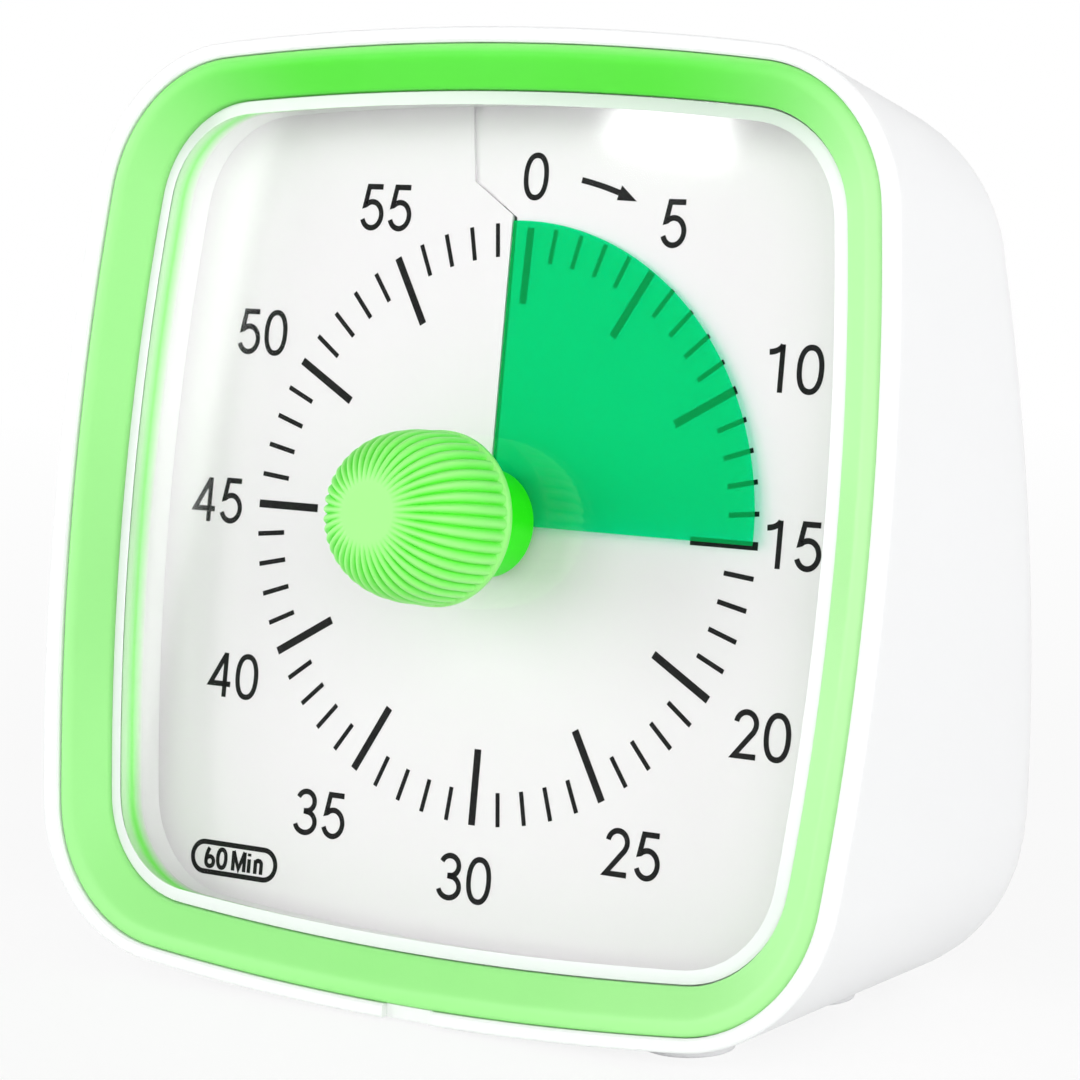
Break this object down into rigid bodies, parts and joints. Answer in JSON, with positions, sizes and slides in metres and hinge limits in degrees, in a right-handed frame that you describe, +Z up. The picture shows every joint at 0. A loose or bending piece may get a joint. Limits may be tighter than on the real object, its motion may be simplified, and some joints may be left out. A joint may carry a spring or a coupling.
{
  "type": "visual countdown timer",
  "caption": "Free-standing countdown timer: a ribbed knob winds a coloured film out over a printed minute dial, driven back by a quartz movement.",
  "frame": {"origin": "on the floor plane under the feet, at the middle of the bounding box", "axes": "+Z up, the dial faces -Y and leans back, +X to the right seen from the front"},
  "size_m": [0.086, 0.0504, 0.0837],
  "materials": {
    "white_plastic": "matte",
    "green_plastic": "satin",
    "neck_plastic": "satin",
    "clear_plastic": "polished",
    "card": "matte",
    "film": "satin",
    "steel": "satin",
    "brass": "satin",
    "copper_winding": "satin",
    "natural_plastic": "matte",
    "black_plastic": "matte",
    "board": "satin",
    "grey_rubber": "matte",
    "battery_jacket": "satin",
    "wire": "satin"
  },
  "bodies": {
    "case": {"housing": "white_plastic", "bezel_ring": "green_plastic", "lens": "clear_plastic", "dial_tray": "white_plastic", "dial_card": "card", "movement_front": "natural_plastic", "movement_rear": "natural_plastic", "movement_screws": "steel", "stator": "steel", "coil": "copper_winding", "alarm_contacts": "brass", "movement_board": "board", "timer_chip": "black_plastic", "quartz_crystal": "steel", "battery": "battery_jacket", "battery_tray": "white_plastic", "positive_contact": "steel", "negative_contact": "steel", "alarm_board": "board", "board_screws": "steel", "switch_body": "steel", "buzzer": "black_plastic", "alarm_chip": "black_plastic", "case_screws": "steel", "foot_pads": "grey_rubber", "battery_wires": "wire", "buzzer_wires": "wire"},
    "knob": {"knob_cap": "green_plastic", "film_hub": "neck_plastic", "time_film": "film", "drive_shaft": "steel", "alarm_cam": "natural_plastic", "clutch_spring": "steel"},
    "centre_wheel": {"centre_wheel": "natural_plastic"},
    "third_wheel": {"third_wheel": "natural_plastic"},
    "second_wheel": {"second_wheel": "natural_plastic"},
    "intermediate_wheel": {"intermediate_wheel": "natural_plastic"},
    "rotor": {"rotor": "steel"},
    "battery_door": {"battery_door": "white_plastic"},
    "volume_slider": {"volume_slider": "black_plastic"}
  },
  "joints": [
    {"name": "knob_turn", "type": "hinge", "parent": "case", "child": "knob", "pos_m": [0, -0.00593, 0.04107], "axis": [0, 0.9877, -0.1564], "range_deg": [-90, 270], "deforming": ["time_film"]},
    {"name": "rotor_spin", "type": "hinge", "parent": "case", "child": "rotor", "pos_m": [-0.01258, -0.00458, 0.04962], "axis": [0, 0.9877, -0.1564], "continuous": true},
    {"name": "intermediate_spin", "type": "hinge", "parent": "case", "child": "intermediate_wheel", "pos_m": [-0.00799, -0.00408, 0.0528], "axis": [0, 0.9877, -0.1564], "continuous": true},
    {"name": "second_spin", "type": "hinge", "parent": "case", "child": "second_wheel", "pos_m": [-0.00235, -0.00376, 0.05482], "axis": [0, 0.9877, -0.1564], "continuous": true},
    {"name": "third_spin", "type": "hinge", "parent": "case", "child": "third_wheel", "pos_m": [0.00544, -0.00446, 0.05038], "axis": [0, 0.9877, -0.1564], "continuous": true},
    {"name": "centre_spin", "type": "hinge", "parent": "case", "child": "centre_wheel", "pos_m": [0, -0.00593, 0.04107], "axis": [0, 0.9877, -0.1564], "continuous": true},
    {"name": "door_swing", "type": "hinge", "parent": "case", "child": "battery_door", "pos_m": [0, 0.02428, 0.01434], "axis": [-1, 0, 0], "range_deg": [0, 85]},
    {"name": "volume_slide", "type": "slide", "parent": "case", "child": "volume_slider", "axis": [1, 0, 0], "range_m": [-0.002, 0.002]}
  ],
  "couplings": [
    {"joint": "intermediate_spin", "follows": "rotor_spin", "ratio": -0.16667},
    {"joint": "second_spin", "follows": "rotor_spin", "ratio": 0.033333},
    {"joint": "third_spin", "follows": "rotor_spin", "ratio": -0.0041667},
    {"joint": "centre_spin", "follows": "rotor_spin", "ratio": 0.00055556}
  ]
}
